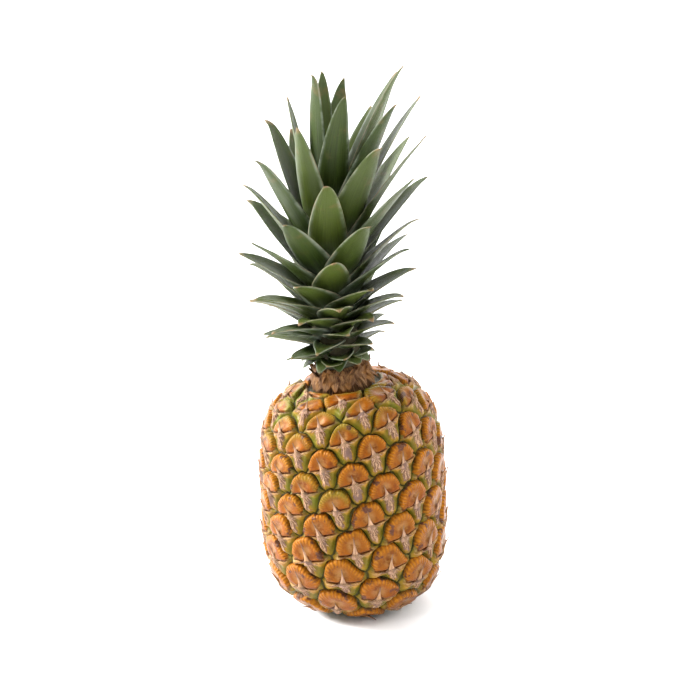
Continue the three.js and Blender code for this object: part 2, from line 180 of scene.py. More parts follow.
def groove_line(a, b, site):
    """Points of the ball along the groove between corners a and b. It is drawn in beside the lower eye's
    wing, and bulges out over its round fan."""
    k = np.arange(EDGE_STEPS)[:, None] / EDGE_STEPS
    line = corners[a] * (1 - k) + corners[b] * k
    middle = (corners[a] + corners[b]) / 2
    away = middle - site
    away *= np.sign(away[2])
    length = np.linalg.norm(corners[b] - corners[a])
    climb = (corners[b][2] - corners[a][2]) / length
    k_up = k if climb > 0 else 1 - k
    skew = float(smoothstep(abs(climb), 0.15, 0.5))
    bulge = FAN_BULGE * k * (1 - k) * (0.3 * (1 - skew) + (k_up - 0.3) * skew)
    line = line + bulge * length * away * abs(away[2]) / np.linalg.norm(away) ** 2
    line /= np.linalg.norm(line, axis=1)[:, None]
    turn = np.arctan2(line[:, 1], line[:, 0])
    level = np.clip(line[:, 2], base_level, seat_level)
    around = np.sqrt(1 - level**2)
    return np.stack([around * np.cos(turn), around * np.sin(turn), level], -1)


def crease_at(x):
    """Where the round fan's lower edge runs: notched by the bract's tooth, and up beside both wings."""
    return -0.09 + 0.22 * np.exp(-((x / 0.16) ** 2)) + 2.4 * np.maximum(np.abs(x) - 0.68, 0) ** 1.4


def eye_rise(x, y, luck):
    """How high an eye stands, over a unit disc whose rim is the groove and whose +y is up."""
    reach = np.hypot(x, y)
    bearing = np.arctan2(y, x)
    over = y - crease_at(x)
    fan = smoothstep(over, -0.02, 0.05)
    from_middle = np.hypot(x / 0.95, (y - 0.36) / 0.66)
    plump = 1.6 - 1.1 * (1 - smoothstep(from_middle, 0.05, 0.55)) - 0.4 * smoothstep(from_middle, 0.6, 0.95)
    tooth = 0.28 * np.cos(26 * bearing + 5 * luck) * smoothstep(reach, 0.72, 0.9)
    # The bract's five arms are folds with hollows between them.
    fold = 0.5 + 0.5 * np.cos(5 * (bearing + math.pi / 2) + 0.8 * (luck - 0.5))
    arms = (1.9 * fold**2.4 - 0.85) * smoothstep(reach, 0.12, 0.5)
    boss = 1.5 * np.exp(-((x / 0.26) ** 2) - ((y + 0.08) / 0.26) ** 2)
    bract = 0.9 - 0.75 * reach + arms * (1 - 0.4 * reach) + boss
    rise = bract * (1 - fan) + (plump + tooth) * fan
    crease = np.exp(-(((over - 0.035) / 0.055) ** 2)) * smoothstep(np.abs(x), 0.06, 0.16)
    rise = rise - crease * (1.9 - 1.5 * smoothstep(reach, 0.25, 0.9)) * (1 - smoothstep(reach, 0.85, 1))
    wall = smoothstep(reach, 0.9, 1.0) * fan + smoothstep(reach, 0.7, 1.0) * (1 - fan)
    return rise * (1 - wall) - GROOVE_DEPTH * wall


rind_points, rind_faces, rind_uv, rind_luck = [], [], [], []
groove_index = {}
eye_frames = []
luck_source = np.random.default_rng(SKIN_SEED)


def add_points(points, luck):
    start = len(rind_points)
    rind_points.extend(np.atleast_2d(points))
    rind_luck.extend([luck] * (len(rind_points) - start))
    return list(range(start, len(rind_points)))


def strip(outer, inner, outer_uv, inner_uv):
    n = len(outer)
    for k in range(n):
        m = (k + 1) % n
        rind_faces.append((outer[k], outer[m], inner[m], inner[k]))
        rind_uv.append((outer_uv[k], outer_uv[m], inner_uv[m], inner_uv[k]))


for number, (site, cell) in enumerate(zip(sites, cells)):
    luck = tuple(luck_source.random(3))
    edge_ball, edge_index = [], []
    for a, b in zip(cell, cell[1:] + cell[:1]):
        key = (min(a, b), max(a, b))
        line = groove_line(a, b, site)
        if key not in groove_index:
            # Corners are kept apart from the points between them, because three eyes share a corner.
            for c, ball in ((a, corners[a]), (b, corners[b])):
                if c not in groove_index:
                    groove_index[c] = add_points(on_fruit(ball, -GROOVE_DEPTH), luck)[0]
            inner = add_points(on_fruit(line[1:], np.full(EDGE_STEPS - 1, -GROOVE_DEPTH)), luck)
            groove_index[key] = inner if a < b else inner[::-1]
        inner = groove_index[key] if a < b else groove_index[key][::-1]
        edge_index += [groove_index[a]] + inner
        edge_ball.append(line)
    edge_ball = np.concatenate(edge_ball)
    if number in (0, len(sites) - 1):
        # The base and the seat of the neck are flat, with a rounded lip.
        flat_radius = BASE_DISC_RADIUS if number == 0 else SEAT_DISC_RADIUS
        flat_height = 0.0 if number == 0 else SEAT_HEIGHT
        turn = np.arctan2(edge_ball[:, 1], edge_ball[:, 0])
        outer, outer_uv = edge_index, [(0.5, 0.02)] * len(turn)
        for radius in (flat_radius, flat_radius * 0.6, flat_radius * 0.25):
            ring = np.stack([radius * np.cos(turn), radius * np.sin(turn), turn * 0 + flat_height], -1)
            inner = add_points(lopsided(ring), luck)
            strip(outer, inner, outer_uv, outer_uv)
            outer = inner
        middle = add_points(lopsided(np.array([0, 0, flat_height])), luck)[0]
        for k in range(len(outer)):
            rind_faces.append((outer[k], outer[(k + 1) % len(outer)], middle))
            rind_uv.append(((0.5, 0.02),) * 3)
        continue
    # The crease runs between the cell's left and right corners, so directions are measured from those.
    east, north = compass(site)
    own = np.array([corners[c] for c in cell])
    bearing = np.arctan2(own @ north, own @ east)
    right = bearing[np.argmin(np.abs(bearing))]
    left = bearing[np.argmax(np.abs(bearing))] % (2 * math.pi)
    direction = np.arctan2(edge_ball @ north, edge_ball @ east)
    direction = (direction - right) % (2 * math.pi)
    span = left - right
    # The corners lie a little below the disc's middle line.
    above = -CORNER_DIP + direction / span * (math.pi + 2 * CORNER_DIP)
    under = (direction - span) / (2 * math.pi - span) * (math.pi - 2 * CORNER_DIP)
    direction = np.where(direction < span, above, math.pi + CORNER_DIP + under)
    disc = np.stack([np.cos(direction), np.sin(direction)], -1)
    outer, outer_uv = edge_index, [tuple(0.5 + 0.5 * d) for d in disc]
    for reach in RINGS:
        ball = site * (1 - reach) + edge_ball * reach
        ball /= np.linalg.norm(ball, axis=1)[:, None]
        x, y = (disc * reach).T
        inner = add_points(on_fruit(ball, eye_rise(x, y, luck[0])), luck)
        inner_uv = [tuple(0.5 + 0.5 * reach * d) for d in disc]
        strip(outer, inner, outer_uv, inner_uv)
        outer, outer_uv = inner, inner_uv
    middle = add_points(on_fruit(site, eye_rise(0.0, 0.0, luck[0])), luck)[0]
    for k in range(len(outer)):
        m = (k + 1) % len(outer)
        rind_faces.append((outer[k], outer[m], middle))
        rind_uv.append((outer_uv[k], outer_uv[m], (0.5, 0.5)))
    # Where the bract's tip stands, and its own directions: along the crease, up over the fan, and out.
    foot = on_fruit(site, 0.6)
    top = on_fruit(site + 0.5 * (edge_ball[np.argmax(disc[:, 1])] - site), 1.0)
    side = on_fruit(site + 0.5 * (edge_ball[np.argmax(disc[:, 0])] - site), 1.0)
    upward = (top - foot) / np.linalg.norm(top - foot)
    outward = np.cross(side - foot, upward)
    outward /= np.linalg.norm(outward)
    eye_frames.append((foot, upward, outward, np.linalg.norm(top - foot), luck))


def smooth_piece(name, points, faces, uv_name, corner_uvs, mark_name, marks):
    """A smooth piece of points in mm, with a UV for each face corner and four marks for each point."""
    mesh = bpy.data.meshes.new(name)
    mesh.from_pydata([tuple(p * MM) for p in points], [], faces)
    layer = mesh.uv_layers.new(name=uv_name)
    layer.data.foreach_set("uv", np.array(corner_uvs, dtype=np.float32).ravel())
    layer = mesh.color_attributes.new(mark_name, "FLOAT_COLOR", "POINT")
    layer.data.foreach_set("color", np.array(marks, dtype=np.float32).ravel())
    mesh.shade_smooth()
    piece = bpy.data.objects.new(name, mesh)
    bpy.context.collection.objects.link(piece)
    return piece


rind_corners = [corner for face in rind_uv for corner in face]
rind_marks = [marks + (1.0,) for marks in rind_luck]
rind = smooth_piece("rind", rind_points, rind_faces, "eye_disc", rind_corners, "luck", rind_marks)


def linear(code):
    """A colour written as sRGB hex, as the linear colour that the shader wants."""
    values = [int(code[i : i + 2], 16) / 255 for i in (0, 2, 4)]
    return tuple(v / 12.92 if v <= 0.04045 else ((v + 0.055) / 1.055) ** 2.4 for v in values) + (1.0,)


def add(tree, kind, links=None, **settings):
    """A shader node with its settings, and its inputs linked or set by name or number."""
    made = tree.nodes.new(kind)
    for name, value in settings.items():
        setattr(made, name, value)
    for name, value in (links or {}).items():
        if isinstance(value, bpy.types.NodeSocket):
            tree.links.new(value, made.inputs[name])
        else:
            made.inputs[name].default_value = value
    return made


def calc(tree, operation, *values, clamp=False):
    links = dict(enumerate(values))
    return add(tree, "ShaderNodeMath", links, operation=operation, use_clamp=clamp).outputs[0]


def plus(tree, first, second):
    return calc(tree, "ADD", first, second)


def times(tree, first, second):
    return calc(tree, "MULTIPLY", first, second)


def off_line(tree, value, line):
    """How far a value is from a line's, on either side."""
    return calc(tree, "ABSOLUTE", calc(tree, "SUBTRACT", value, line))


def wave(tree, value, count, shift):
    """A sine of so many radians for each unit of the value, shifted along."""
    return calc(tree, "SINE", calc(tree, "MULTIPLY_ADD", value, count, shift))


def between(tree, value, low, high):
    """0 below low, 1 above high, and smooth between."""
    links = {0: value, 1: low, 2: high}
    return add(tree, "ShaderNodeMapRange", links, interpolation_type="SMOOTHSTEP").outputs[0]


def blend_colours(tree, share, first, second):
    return add(tree, "ShaderNodeMix", {0: share, 6: first, 7: second}, data_type="RGBA").outputs[2]


def tint(tree, under, code, mask, strength=1.0):
    """A colour laid over another by a mask and a strength."""
    return blend_colours(tree, times(tree, mask, strength), under, linear(code))


def speckle(tree, place, size, detail=4.0, rough=0.55):
    """Mottling whose largest spots are about so many mm apart."""
    links = {"Vector": place, "Scale": 1 / (size * MM), "Detail": detail, "Roughness": rough}
    return add(tree, "ShaderNodeTexNoise", links).outputs[0]


def empty_material(name):
    material = bpy.data.materials.new(name)
    material.use_nodes = True
    material.node_tree.nodes.clear()
    return material, material.node_tree


def own_place(tree):
    """The point of the piece itself, in metres."""
    return add(tree, "ShaderNodeTexCoord").outputs["Object"]


def parts_of(tree, kind, value):
    """The three parts of a vector or of a colour."""
    return add(tree, kind, {0: value}).outputs


def finish_material(tree, colour, rough, bump, specular):
    surface = add(tree, "ShaderNodeBsdfPrincipled", {"Base Color": colour, "Roughness": rough})
    if bump is not None:
        tree.links.new(bump.outputs[0], surface.inputs["Normal"])
    surface.inputs["Specular IOR Level"].default_value = specular
    add(tree, "ShaderNodeOutputMaterial", {0: surface.outputs[0]})
    return surface


# Waxy ripe pineapple rind: orange pleated fans, olive bracts with papery mauve middles, dark grooves, and
# painted shade, highlights and reflections on them.
rind_material, tree = empty_material("waxy_pineapple_rind")
place = own_place(tree)
uv = add(tree, "ShaderNodeUVMap", uv_map="eye_disc").outputs[0]
links = {0: uv, 1: (2, 2, 0), 2: (-1, -1, 0)}
disc = add(tree, "ShaderNodeVectorMath", links, operation="MULTIPLY_ADD").outputs[0]
links = {"Vector": place, "Scale": 1 / (3.85 * MM), "Detail": 3.0}
waver = add(tree, "ShaderNodeTexNoise", links).outputs["Color"]
links = {0: waver, 1: (0.12, 0.12, 0), 2: (-0.06, -0.06, 0)}
waver = add(tree, "ShaderNodeVectorMath", links, operation="MULTIPLY_ADD").outputs[0]
disc_wavy = add(tree, "ShaderNodeVectorMath", {0: disc, 1: waver}, operation="ADD").outputs[0]
x, y, _ = parts_of(tree, "ShaderNodeSeparateXYZ", disc_wavy)
plain_x, plain_y, _ = parts_of(tree, "ShaderNodeSeparateXYZ", disc)
reach = add(tree, "ShaderNodeVectorMath", {0: disc}, operation="LENGTH").outputs["Value"]
reach_wavy = add(tree, "ShaderNodeVectorMath", {0: disc_wavy}, operation="LENGTH").outputs["Value"]
bearing = calc(tree, "ARCTAN2", plain_y, plain_x)
luck = add(tree, "ShaderNodeAttribute", attribute_name="luck").outputs[0]
green_luck, ripe_luck, _ = parts_of(tree, "ShaderNodeSeparateColor", luck)
place_x, _, place_z = parts_of(tree, "ShaderNodeSeparateXYZ", place)
# The same crease line as in crease_at.
side = calc(tree, "ABSOLUTE", x)
notch = times(tree, between(tree, side, 0.28, 0.0), 0.22)
wing = calc(tree, "MAXIMUM", calc(tree, "SUBTRACT", side, 0.68), 0.0)
wing = times(tree, calc(tree, "POWER", wing, 1.4), 2.4)
crease_line = plus(tree, plus(tree, notch, wing), -0.09)
above_crease = calc(tree, "SUBTRACT", y, crease_line)
fan = between(tree, above_crease, -0.02, 0.03)

broad = speckle(tree, place, 45.5, 2.0)
fine = speckle(tree, place, 1.11, 5.0, 0.6)
medium = speckle(tree, place, 4.17, 4.0, 0.6)
# Greenness grows upwards and to the left, and falls in patches.
green = calc(tree, "MULTIPLY_ADD", place_z, 9.0, -0.95)
green = calc(tree, "MULTIPLY_ADD", place_x, -4.0, green)
green = plus(tree, green, calc(tree, "MULTIPLY_ADD", broad, 2.4, -1.2))
green = plus(tree, green, calc(tree, "MULTIPLY_ADD", green_luck, 0.5, -0.25))
green = between(tree, green, 0.1, 0.75)

# The fan: a tan dish in orange, its pale pinkish middle partly its own colour and partly a painted
# reflection, golden at the rim with a painted highlight, with dark fine pleats.
pleats = wave(tree, bearing, 34.0, times(tree, medium, 10.0))
pleats = calc(tree, "MULTIPLY_ADD", pleats, 0.5, 0.5)
pleats = times(tree, pleats, between(tree, reach, 0.6, 0.85))
# Paler and pinker towards the dish's middle: the fan's own tan, with a painted reflection in it.
dish = add(tree, "ShaderNodeVectorMath", {0: disc_wavy, 1: (0, 0.34, 0)}, operation="DISTANCE")
dish = between(tree, dish.outputs["Value"], 0.1, 0.42)
fan_colour = blend_colours(tree, dish, linear("90683E"), linear("7C4006"))
fan_colour = tint(tree, fan_colour, "5A280A", between(tree, medium, 0.45, 0.68))
# The golden rim: the rim's own colour, lightened further as a painted highlight.
fan_colour = tint(tree, fan_colour, "B06E14", between(tree, reach_wavy, 0.62, 0.88), 0.85)
ripe = blend_colours(tree, ripe_luck, linear("6E3408"), linear("7A4C0A"))
fan_colour = blend_colours(tree, 0.3, fan_colour, ripe)
fan_colour = tint(tree, fan_colour, "5A2A0C", pleats, 0.55)
green_rim = times(tree, between(tree, reach_wavy, 0.5, 0.85), green)
fan_colour = tint(tree, fan_colour, "5C6420", green_rim, 0.85)
# Bruised spots, near the rim of some fans.
bruise = times(tree, between(tree, reach, 0.35, 0.8), 0.16)
bruise = between(tree, plus(tree, speckle(tree, place, 7.7, 3.0), bruise), 0.72, 0.79)
fan_colour = tint(tree, fan_colour, "3A2226", bruise, 0.85)

# The bract: olive hollows between five ochre arms, and greener at its edges.
arm_wave = wave(tree, bearing, 5.0, calc(tree, "MULTIPLY_ADD", medium, 3.0, -1.5))
arms = calc(tree, "POWER", calc(tree, "MULTIPLY_ADD", arm_wave, -0.5, 0.5), 1.6)
arms = times(tree, arms, between(tree, reach_wavy, 0.1, 0.5))
ochre = calc(tree, "MULTIPLY_ADD", arms, 1.3, -0.45)
ochre = calc(tree, "MULTIPLY_ADD", medium, 0.8, ochre, clamp=True)
bract_colour = blend_colours(tree, ochre, linear("5C4C12"), linear("A07226"))
bract_colour = tint(tree, bract_colour, "545C14", between(tree, reach_wavy, 0.55, 0.95), 0.5)
bract_colour = tint(tree, bract_colour, "566420", green, 0.75)
skin = blend_colours(tree, fan, bract_colour, fan_colour)

# The papery middle spreads along the crease and down the bract, in fibres.
along_crease = between(tree, off_line(tree, above_crease, -0.09), 0.13, 0.05)
along_crease = times(tree, along_crease, between(tree, reach, 1.08, 0.6))
disc_narrow = add(tree, "ShaderNodeMapping", {0: disc_wavy, 3: (1.15, 1, 1)}).outputs[0]
from_middle = add(tree, "ShaderNodeVectorMath", {0: disc_narrow, 1: (0, -0.22, 0)}, operation="DISTANCE")
fibres = wave(tree, bearing, 19.0, times(tree, medium, 14.0))
fibres = calc(tree, "MULTIPLY_ADD", fibres, 0.09, from_middle.outputs["Value"])
fibres = calc(tree, "MULTIPLY_ADD", arms, -0.24, fibres)
paper = times(tree, between(tree, fibres, 0.42, 0.23), calc(tree, "SUBTRACT", 1.0, fan))
paper = calc(tree, "MAXIMUM", paper, times(tree, along_crease, 0.55))
strand = wave(tree, bearing, 26.0, times(tree, speckle(tree, place, 2.38, 4.0), 16.0))
paper_colour = blend_colours(tree, between(tree, strand, -0.3, 0.9), linear("62493C"), linear("A58468"))
mauve = between(tree, speckle(tree, place, 6.67, 3.0), 0.5, 0.66)
paper_colour = tint(tree, paper_colour, "66504A", mauve)
skin = blend_colours(tree, paper, skin, paper_colour)

# Painted shade in the crease and on the fan just above it, dark grooves with painted shade in them, and pale
# flecks all over.
# Painted shade along the crease, deepest in the middle.
painted_crease_shade = between(tree, off_line(tree, above_crease, 0.035), 0.065, 0.015)
painted_crease_shade = times(tree, painted_crease_shade, between(tree, reach, 1.05, 0.6))
skin = tint(tree, skin, "280C04", painted_crease_shade, 0.9)
# Painted shade on the fan beside the crease.
fold_shade = between(tree, calc(tree, "ABSOLUTE", above_crease), 0.2, 0.0)
fold_shade = times(tree, times(tree, fold_shade, between(tree, reach, 0.8, 0.3)), fan)
skin = tint(tree, skin, "5A2A10", fold_shade, 0.45)
# The grooves: their own dark green, darkened to near black as painted shade of their depth.
groove_edge = calc(tree, "MULTIPLY_ADD", fan, 0.03, 0.898)
groove_dark_and_shade = between(tree, reach_wavy, groove_edge, plus(tree, groove_edge, 0.07))
skin = tint(tree, skin, "1A1F08", groove_dark_and_shade, 0.95)
skin = tint(tree, skin, "D0A04C", between(tree, fine, 0.55, 0.8), 0.15)

relief = plus(tree, times(tree, times(tree, pleats, fan), 0.5), times(tree, fine, 0.5))
relief = plus(tree, relief, times(tree, times(tree, paper, medium), 1.2))
bump = add(tree, "ShaderNodeBump", {"Height": relief, "Strength": 0.75, "Distance": 0.0007})
rough = calc(tree, "MULTIPLY_ADD", medium, 0.3, 0.2)
rough = calc(tree, "MULTIPLY_ADD", paper, 0.4, rough, clamp=True)
surface = finish_material(tree, skin, rough, bump, 0.2)
surface.inputs["Subsurface Weight"].default_value = 0.08
surface.inputs["Subsurface Radius"].default_value = (0.004, 0.0015, 0.0006)
surface.inputs["Specular Tint"].default_value = linear("FFE1AA")
rind.data.materials.append(rind_material)
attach(rind, "root")
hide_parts("fruit")

# The dry tips of the eyes' bracts
# Each eye's bract ends in a thin, dry, pale point that rises from the papery middle and leans up over the
# fan. One is shaped and copied to every eye, a little longer or more bent each time.

TIP_CUTS = (0.15, 0.32, 0.5, 0.68, 0.84)
TIP_FOOT_DROP = 2.6
TIP_HALF_WIDTH = 2.5
TIP_HALF_DEPTH = 1.1
# One tip in five stands well off the fan.
STRAY_LUCK = 0.8
STRAY_LEAN = 3.0
LOWEST_TIP = 0.3


def cut_rings(levels):
    """Cuts the active piece across at some levels of its own height, so that it can bend there."""
    bpy.ops.object.mode_set(mode="EDIT")
    for level in levels:
        bpy.ops.mesh.select_all(action="SELECT")
        bpy.ops.mesh.bisect(plane_co=(0, 0, level), plane_no=(0, 0, 1))
    bpy.ops.object.mode_set(mode="OBJECT")


bpy.ops.object.select_all(action="DESELECT")
bpy.ops.mesh.primitive_cone_add(vertices=10, radius1=1.0, radius2=0.02, depth=1.0, location=(0, 0, 0.5))
tip_model = bpy.context.object
bpy.ops.object.transform_apply(location=True)
cut_rings(TIP_CUTS)
unit_tip = np.array([v.co[:] for v in tip_model.data.vertices])
unit_faces = [tuple(p.vertices) for p in tip_model.data.polygons]
bpy.data.objects.remove(tip_model)

t = unit_tip[:, 2]
around = np.arctan2(unit_tip[:, 1], unit_tip[:, 0])
# Broad and hollow at the foot, then a thin point.
wide = (TIP_HALF_WIDTH * (1 - t) ** 2.3 + 0.24) * np.cos(around)
thick = (TIP_HALF_DEPTH * (1 - t) ** 1.8 + 0.2) * np.sin(around)
tip_points, tip_faces, tip_marks = [], [], []
for foot, upward, outward, fan_length, luck in eye_frames:
    sideways = np.cross(upward, outward)
    length = fan_length * (1.45 + 0.6 * luck[2])
    sway = (luck[1] - 0.5) * 2.4 * t**1.5
    # It leans over the fan and curls out at its end.
    stray = STRAY_LEAN if luck[0] > STRAY_LUCK else 0.0
    lean = 0.2 + 1.5 * t + (0.4 + 1.6 * luck[1] + stray) * t**2.5
    spot = foot + np.outer(t * length - TIP_FOOT_DROP, upward)
    spot = spot + np.outer(wide + sway, sideways) + np.outer(lean + thick, outward)
    spot[:, 2] = np.maximum(spot[:, 2], LOWEST_TIP)
    start = len(tip_points)
    tip_points.extend(spot)
    tip_faces.extend(tuple(start + v for v in face) for face in unit_faces)
    tip_marks.extend([(luck[0], v, luck[2], 1.0) for v in t])
tip_uvs = np.stack([np.abs(around) / math.pi, t], -1)
tip_corners = tip_uvs[[v % len(unit_tip) for face in tip_faces for v in face]]
tips = smooth_piece("bract_tips", tip_points, tip_faces, "blade", tip_corners, "luck", tip_marks)
bpy.ops.object.select_all(action="DESELECT")
tips.select_set(True)
bpy.context.view_layer.objects.active = tips
bpy.ops.object.mode_set(mode="EDIT")
bpy.ops.mesh.select_all(action="SELECT")
bpy.ops.mesh.normals_make_consistent(inside=False)
bpy.ops.object.mode_set(mode="OBJECT")


def fibres_along(tree, luck, shift, stretch, detail, rough):
    """Fibres that run along a blade, shifted by its luck so that no two blades look alike."""
    uv = add(tree, "ShaderNodeUVMap", uv_map="blade").outputs[0]
    across, length, _ = parts_of(tree, "ShaderNodeSeparateXYZ", uv)
    links = {0: across, 1: length, 2: times(tree, luck, shift)}
    place = add(tree, "ShaderNodeCombineXYZ", links).outputs[0]
    place = add(tree, "ShaderNodeMapping", {0: place, 3: stretch}).outputs[0]
    links = {"Vector": place, "Scale": 1.0, "Detail": detail, "Roughness": rough}
    return add(tree, "ShaderNodeTexNoise", links).outputs[0]


# Dry papery bract: pinkish tan in streaks, ochre in patches, grey-mauve at the foot and dark at the point.
dry_material, tree = empty_material("dry_papery_bract")
luck = add(tree, "ShaderNodeAttribute", attribute_name="luck").outputs[0]
tip_luck, length, _ = parts_of(tree, "ShaderNodeSeparateColor", luck)
streak = fibres_along(tree, tip_luck, 60.0, (14, 1.6, 1), 4.0, 0.6)
dry = blend_colours(tree, between(tree, streak, 0.36, 0.62), linear("6E4E3A"), linear("BC9474"))
dry = tint(tree, dry, "A8783E", between(tree, speckle(tree, own_place(tree), 11.1, 3.0), 0.45, 0.65), 0.5)
dry = tint(tree, dry, "4E3426", between(tree, length, 0.45, 0.85), 0.8)
dry = tint(tree, dry, "86695C", between(tree, length, 0.3, 0.0), 0.5)
bump = add(tree, "ShaderNodeBump", {"Height": streak, "Strength": 0.6, "Distance": 0.0004})
finish_material(tree, dry, 0.75, bump, 0.5)
tips.data.materials.append(dry_material)
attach(tips, "root")
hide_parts("fruit")

# The crown
# A short stem carries the leaves in one spiral. Each is a thick channelled blade, broad at its root, that
# sheathes the younger ones inside it. All of them grow from the stem and are fused to it.

CROWN_NOD = math.radians(2.7)
CROWN_BEND = 44.0
CROWN_BEND_START = 0.243
CROWN_HEIGHT = 198.0
COLLAR_HEIGHT = 15.0
COLLAR_RADIUS = 14.5
GAP = 0.4
STEM_RADIUS = 14.0
STEM_TOP_RADIUS = 7.0
STEM_TOP = 98.0
STEM_CUTS = (0.1, 0.2, 0.3, 0.45, 0.6, 0.8)
# A little inside the solid stem, and how far in it a leaf's root begins.
STEM_INSET = 0.97
ROOT_INSET = 0.6
LEAF_TURN = math.radians(138.785)
LEAF_COUNT = 74
FRONT_LEAF = 44
FRONT_LEAF_TURN = math.radians(-90.7)
LEFTWARD_REACH = 0.124
LEAF_ROOT_HEIGHT = [17, 24.8, 32.8, 43.5, 55.5, 67.4, 79.4]
LEAF_TIP_HEIGHT = [23.2, 36.9, 55.8, 76.9, 111.9, 158, 195.1]
LEAF_REACH = [26.9, 38.7, 48.1, 52.6, 56.1, 54.8, 28.7]
LEAF_WIDTH = [16.8, 19.3, 21.8, 24.3, 25.2, 25.8, 20.8]
LEAF_KNEE_OUT = [0.5, 0.42, 0.41, 0.44, 0.48, 0.52, 0.55]
LEAF_KNEE_UP = [0.5, 0.9, 0.87, 0.71, 0.65, 0.67, 0.7]
LEAF_THICKNESS = 2.4
LEAF_CHANNEL = math.radians(62)
LEAF_TWIST = math.radians(30)
LEAF_TURN_SPREAD = math.radians(10)
LEAF_REACH_SPREAD = 0.1
LEAF_HEIGHT_SPREAD = 8
LEAF_SEED = 3927
CURL_START = 0.88
SHORT_LEAF_COUNT = 11
SHORT_LEAF_HEIGHT = 19.4
SHORT_LEAF_TIP_HEIGHT = 16.6
SHORT_LEAF_REACH = 21
SHORT_LEAF_WIDTH = 13
SHORT_LEAF_THICKNESS = 1.8
SHORT_LEAF_CHANNEL = math.radians(40)
SHORT_LEAF_TWIST = 0.3


def seeded_random(seed):
    """Numbers from 0 to 1 that come out the same at each run, as in the part's source."""
    state = seed
    while True:
        state = (state * 1664525 + 1013904223) % 4294967296
        yield state / 4294967296


def along(values, t):
    """A smooth curve through evenly spaced values, read at t from 0 to 1."""
    x = t * (len(values) - 1)
    i = min(int(x), len(values) - 2)
    f = x - i
    a, b, c, d = (values[min(max(k, 0), len(values) - 1)] for k in (i - 1, i, i + 1, i + 2))
    return b + 0.5 * f * (c - a + f * (2 * a - 5 * b + 4 * c - d + f * (3 * (b - c) + d - a)))


def blade_outline(u):
    return (0.74 + 0.26 * np.sin(np.minimum(u / 0.35, 1) * math.pi / 2)) * (1 - u**2.2) ** 0.85


def on_neck(p):
    """Points in mm beside the neck, put where the leaning neck stands on the fruit."""
    x = p[..., 0] * math.cos(SHOULDER_TILT) - p[..., 2] * math.sin(SHOULDER_TILT) - NECK_OFFSET
    z = p[..., 0] * math.sin(SHOULDER_TILT) + p[..., 2] * math.cos(SHOULDER_TILT) + SEAT_HEIGHT
    return np.stack([x, p[..., 1], z], -1)


def bent_crown(p):
    share = np.maximum(p[..., 2] / CROWN_HEIGHT, 0)
    return np.stack([p[..., 0] + CROWN_BEND * share * (share - CROWN_BEND_START), p[..., 1], p[..., 2]], -1)


def blade(root, knee, tip, turn, width, thickness, channel, twist, length_steps, side_steps):
    """A closed channelled blade: its points, its faces, and how far along and across each point lies."""
    root, knee, tip = np.array(root, float), np.array(knee, float), np.array(tip, float)
    outward = np.array([math.cos(turn), math.sin(turn), 0])
    sideways = np.array([-math.sin(turn), math.cos(turn), 0])
    up = np.array([0, 0, 1.0])
    u = np.linspace(0, 1, length_steps + 1)[:-1] ** 0.92
    points, marks = [], []
    across = np.sin(np.linspace(-1, 1, side_steps + 1) * math.pi / 2)
    for one in u:
        at = root * (1 - one) ** 2 + 2 * knee * one * (1 - one) + tip * one**2
        run = 2 * (1 - one) * (knee - root) + 2 * one * (tip - knee)
        run /= np.linalg.norm(run)
        forward = outward * run[0] + up * run[1]
        inner = -outward * run[1] + up * run[0]
        side = sideways * math.cos(twist * one) + np.cross(forward, sideways) * math.sin(twist * one)
        inner = inner * math.cos(twist * one) + np.cross(forward, inner) * math.sin(twist * one)
        half_width = width / 2 * blade_outline(one)
        half_angle = channel * (1 - 0.55 * float(smoothstep(one, 0, 0.7)))
        bend = half_width / math.sin(half_angle)
        middle = outward * at[0] + up * at[1]
        thick = thickness * (1 - 0.6 * one)
        for upper, row in ((0, across), (1, across[::-1])):
            for a in row:
                lift = bend * (1 - math.cos(a * half_angle))
                lift += upper * (0.25 + 0.75 * math.sqrt(max(1 - a * a, 0))) * thick
                points.append(middle + side * bend * math.sin(a * half_angle) + inner * lift)
                marks.append((one, a, upper))
    points.append(outward * tip[0] + up * tip[1])
    marks.append((1.0, 0.0, 0))
    n = 2 * (side_steps + 1)
    faces = []
    for i in range(length_steps):
        for k in range(n):
            a, b = i * n + k, i * n + (k + 1) % n
            faces.append((a, b, b + n, a + n) if i < length_steps - 1 else (a, b, len(points) - 1))
    faces.append(tuple(range(n - 1, -1, -1)))
    return np.array(points), faces, marks


